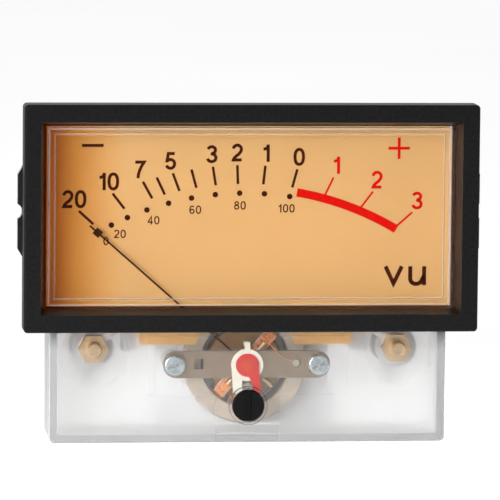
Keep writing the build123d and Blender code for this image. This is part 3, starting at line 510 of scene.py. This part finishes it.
# plain stroke figures in a box one unit high: width, then strokes as (points, closed)
FIGURES = {
    "0": (0.64, [(oval(0.32, 0.5, 0.245, 0.43, 2.3), True)]),
    "1": (0.44, [
        ([(0.06, 0.735), (0.17, 0.745), (0.26, 0.79), (0.315, 0.87), (0.33, 0.99)], False),
        ([(0.335, 0.0), (0.335, 1.0)], False),
    ]),
    "2": (0.64, [
        (arc(0.325, 0.69, 0.235, 0.24, 172, -28)
         + [(0.42, 0.42), (0.26, 0.30), (0.145, 0.18), (0.10, 0.075), (0.58, 0.075)], False),
    ]),
    "3": (0.64, [
        (arc(0.31, 0.735, 0.215, 0.195, 165, -78) + arc(0.31, 0.29, 0.245, 0.22, 82, -168, 16), False),
    ]),
    "4": (0.66, [
        ([(0.47, 0.0), (0.47, 0.97), (0.07, 0.27)], False),
        ([(0.03, 0.27), (0.64, 0.27)], False),
    ]),
    "5": (0.64, [
        ([(0.56, 0.925), (0.19, 0.925), (0.115, 0.50)] + arc(0.315, 0.33, 0.24, 0.255, 138, -160, 16), False),
    ]),
    "6": (0.64, [
        (arc(0.33, 0.55, 0.255, 0.38, 40, 180, 12) + arc(0.33, 0.31, 0.24, 0.24, 180, 540, 26), False),
    ]),
    "7": (0.64, [
        ([(0.06, 0.925), (0.57, 0.925), (0.44, 0.72), (0.32, 0.46), (0.25, 0.22), (0.225, 0.0)], False),
    ]),
    "8": (0.64, [
        (oval(0.32, 0.745, 0.195, 0.19, 2.1), True),
        (oval(0.32, 0.29, 0.24, 0.22, 2.1), True),
    ]),
}


def write(bm, text, cx, cz, height, stroke, gap=0.10):
    widths = [FIGURES[c][0] for c in text]
    total = sum(widths) + gap * (len(text) - 1)
    x = cx - total * height / 2
    bottom = cz - height / 2
    for c, width in zip(text, widths):
        for i, (points, closed) in enumerate(FIGURES[c][1]):
            placed = [(x + px * height, bottom + pz * height) for px, pz in points]
            ribbon(bm, placed, stroke, closed, STEP_LIFT * i)
        x += (width + gap) * height


def finish_print(bm, name, material):
    bmesh.ops.recalc_face_normals(bm, faces=bm.faces)
    mesh = bpy.data.meshes.new(name)
    bm.to_mesh(mesh)
    bm.free()
    o = bpy.data.objects.new(name, mesh)
    bpy.context.scene.collection.objects.link(o)
    mesh.materials.append(material)
    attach(o, "housing")


# driving dimensions of the scale: angles in degrees from straight up, lengths in mm
ZERO_ANGLE = -48.8              # pointer at rest
SWING_GAIN = 91.9               # degrees for each unit of amplitude, well above the knee
KNEE = 0.37                     # amplitude below which the rectifier flattens the scale
TOP_LOSS = 3.0                  # degrees lost at the top mark as the coil nears the end of the gap
TOP_LEVEL = 3
ARC_DROP = 25.1                 # the scale's arcs are centred this far below the pivot
TICK_IN, TICK_OUT = 60.65, 64.4
TICK_WIDTH, RED_TICK_WIDTH = 0.52, 0.38
DOT_ARC, DOT_R, LABEL_DROP = 58.8, 0.56, 2.45
NUMBER_ARC = 66.9
NUMBER_LEAN = 0.972             # numbers stand a little nearer the middle than their marks
NUMBER_H, NUMBER_STROKE, RED_STROKE = 3.45, 0.62, 0.60
LABEL_H, LABEL_STROKE, LABEL_GAP = 1.66, 0.25, 0.14
BAND_ARC, BAND_WIDTH = 59.85, 1.7
PLUS_X, PLUS_Z, PLUS_HALF = 30.8, 42.65, 2.15
PLUS_WIDTH = 0.56
MINUS_LEFT, MINUS_RIGHT, MINUS_Z, MINUS_WIDTH = -32.5, -28.2, 43.2, 0.6
UNIT_WIDTH, UNIT_TOP = 0.82, 19.0


def polar(radius, degrees):
    """Point on a radial line from the pivot, where it meets one of the scale's arcs."""
    s, c = math.sin(math.radians(degrees)), math.cos(math.radians(degrees))
    along = -ARC_DROP * c + math.sqrt((ARC_DROP * c) ** 2 - ARC_DROP ** 2 + radius ** 2)
    return along * s, along * c


def amplitude(level):
    """Signal amplitude for a level in decibels, with 1 at the zero mark."""
    return 10 ** (level / 20)


def scale_angle(share):
    """Pointer angle for a signal amplitude."""
    swing = SWING_GAIN * (math.hypot(share, KNEE) - KNEE)
    above = max(0.0, share - 1) / (amplitude(TOP_LEVEL) - 1)
    return ZERO_ANGLE + swing - TOP_LOSS * above ** 3


def print_brown():
    bm = bmesh.new()
    for level in (-20, -10, -7, -6, -5, -4, -3, -2, -1, 0):
        a = scale_angle(amplitude(level))
        ribbon(bm, [polar(TICK_IN, a), polar(TICK_OUT, a)], TICK_WIDTH)
        if level not in (-6, -4):
            write(bm, str(-level), *polar(NUMBER_ARC, a * NUMBER_LEAN), NUMBER_H, NUMBER_STROKE)
    for percent in (0, 20, 30, 40, 50, 60, 70, 80, 90, 100):
        x, z = polar(DOT_ARC, scale_angle(percent / 100))
        if percent:
            disc(bm, x, z, DOT_R)
        if percent % 20 == 0:
            inward = 1 - LABEL_DROP / math.hypot(x, z)
            write(bm, str(percent), x * inward, z * inward, LABEL_H, LABEL_STROKE, LABEL_GAP)
    ribbon(bm, [(MINUS_LEFT, MINUS_Z), (MINUS_RIGHT, MINUS_Z)], MINUS_WIDTH)
    # unit letters, drawn as plain strokes
    ribbon(bm, [(28.35, UNIT_TOP), (30.0, 15.55), (31.65, UNIT_TOP)], UNIT_WIDTH)
    bowl = arc(34.55, 16.55, 1.2, 1.1, 180, 330, 10)
    ribbon(bm, [(33.35, UNIT_TOP), (33.35, 16.6)] + bowl + [(36.05, 17.0)], UNIT_WIDTH)
    ribbon(bm, [(36.15, UNIT_TOP), (36.15, 15.2)], UNIT_WIDTH)
    finish_print(bm, "scale_print", brown_ink)


def print_red():
    bm = bmesh.new()
    for level in (1, 2, TOP_LEVEL):
        a = scale_angle(amplitude(level))
        ribbon(bm, [polar(TICK_IN - 0.3, a), polar(TICK_OUT, a)], RED_TICK_WIDTH, lift=STEP_LIFT)
        write(bm, str(level), *polar(NUMBER_ARC, a * NUMBER_LEAN), NUMBER_H, RED_STROKE)
    start = scale_angle(1) + 1.9
    sweep = scale_angle(amplitude(TOP_LEVEL)) + 0.6 - start
    ribbon(bm, [polar(BAND_ARC, start + sweep * i / 40) for i in range(41)], BAND_WIDTH)
    ribbon(bm, [(PLUS_X - PLUS_HALF, PLUS_Z), (PLUS_X + PLUS_HALF, PLUS_Z)], PLUS_WIDTH)
    ribbon(bm, [(PLUS_X, PLUS_Z - PLUS_HALF), (PLUS_X, PLUS_Z + PLUS_HALF)], PLUS_WIDTH, lift=STEP_LIFT)
    finish_print(bm, "scale_print_red", red_ink)


print_brown()
print_red()


# ------------------------------------------------------------------ floor, light, camera
def add_floor():
    """White table that gives off some light, most of all under the meter."""
    material, nt, shader, vector = matt("pale_floor", 3, (0.93, 0.93, 0.93), (0.95, 0.95, 0.95),
                                        (0.85, 0.95), 0.0, detail=2)
    length = nt.nodes.new("ShaderNodeVectorMath")
    length.operation = "LENGTH"
    nt.links.new(vector, length.inputs[0])
    shader.inputs["Emission Color"].default_value = (1.0, 1.0, 1.0, 1)
    glow = span(nt, length.outputs["Value"], 0.045, 0.16, 0.62, 0.0)
    nt.links.new(glow, shader.inputs["Emission Strength"])
    bpy.ops.mesh.primitive_plane_add(size=12, location=(0, 0, -0.0002))
    floor = bpy.context.object
    floor.name = "floor"
    floor.data.materials.append(material)


def add_world():
    """Bright behind the meter and dim in front; the backdrop itself is white to the camera."""
    world = bpy.data.worlds.new("studio")
    bpy.context.scene.world = world
    world.use_nodes = True
    nt = world.node_tree
    background = nt.nodes.get("Background") or nt.nodes.new("ShaderNodeBackground")
    background.inputs["Color"].default_value = (1.0, 1.0, 1.0, 1)
    source = nt.nodes.new("ShaderNodeTexCoord")
    _, y, _ = split(nt, source.outputs["Generated"])
    strength = span(nt, y, -0.6, 0.25, 0.15, 1.55, smooth=True)
    light_path = nt.nodes.new("ShaderNodeLightPath")
    backdrop = calculator(nt)("MAXIMUM", light_path.outputs["Is Camera Ray"], strength)
    nt.links.new(backdrop, background.inputs["Strength"])


def add_black_card():
    """Card in front of the meter, hidden from the camera, that keeps the floor off the window."""
    material, _, _, _ = matt("black_card", 40, (0.010, 0.010, 0.010), (0.014, 0.014, 0.014),
                             (0.85, 0.95), 0.0, detail=2)
    bpy.ops.mesh.primitive_plane_add(size=1, location=(0.1, -0.95, 0.0004))
    card = bpy.context.object
    card.name = "black_card"
    card.scale = (1.6, 1.6, 1)
    card.data.materials.append(material)
    card.visible_camera = False
    card.visible_diffuse = False
    card.visible_volume_scatter = False
    card.visible_shadow = False


def area_light(name, place, target, size, energy, size_y=None):
    light = bpy.data.lights.new(name, "AREA")
    light.energy = energy
    light.size = size
    if size_y:
        light.shape = "RECTANGLE"
        light.size_y = size_y
    o = bpy.data.objects.new(name, light)
    bpy.context.scene.collection.objects.link(o)
    o.location = place
    o.rotation_euler = (Vector(target) - Vector(place)).to_track_quat("-Z", "Y").to_euler()


def add_camera():
    azimuth = math.radians(-6.35)
    elevation = math.radians(6.25)
    roll = math.radians(0.57)
    distance = 1.0
    target = Vector((0.00018, -0.008, 0.03832))
    outward = Vector((math.sin(azimuth) * math.cos(elevation),
                      -math.cos(azimuth) * math.cos(elevation),
                      math.sin(elevation)))
    camera = bpy.data.cameras.new("camera")
    camera.sensor_width = 36
    camera.lens = 363.888
    camera.clip_start = 0.05
    o = bpy.data.objects.new("camera", camera)
    bpy.context.scene.collection.objects.link(o)
    turn = (-outward).to_track_quat("-Z", "Y").to_matrix().to_4x4() @ Matrix.Rotation(roll, 4, "Z")
    o.matrix_world = Matrix.Translation(target + outward * distance) @ turn
    bpy.context.scene.camera = o


add_floor()
add_world()
add_black_card()
area_light("key", (-0.72, -0.96, 0.12), (0, 0, 0.035), 0.75, 16.5, size_y=0.7)
area_light("fill", (0.9, -0.75, 0.4), (0, 0, 0.03), 0.6, 0.6)
add_camera()

bpy.context.scene.view_settings.view_transform = "Standard"
bpy.context.scene.view_settings.look = "None"
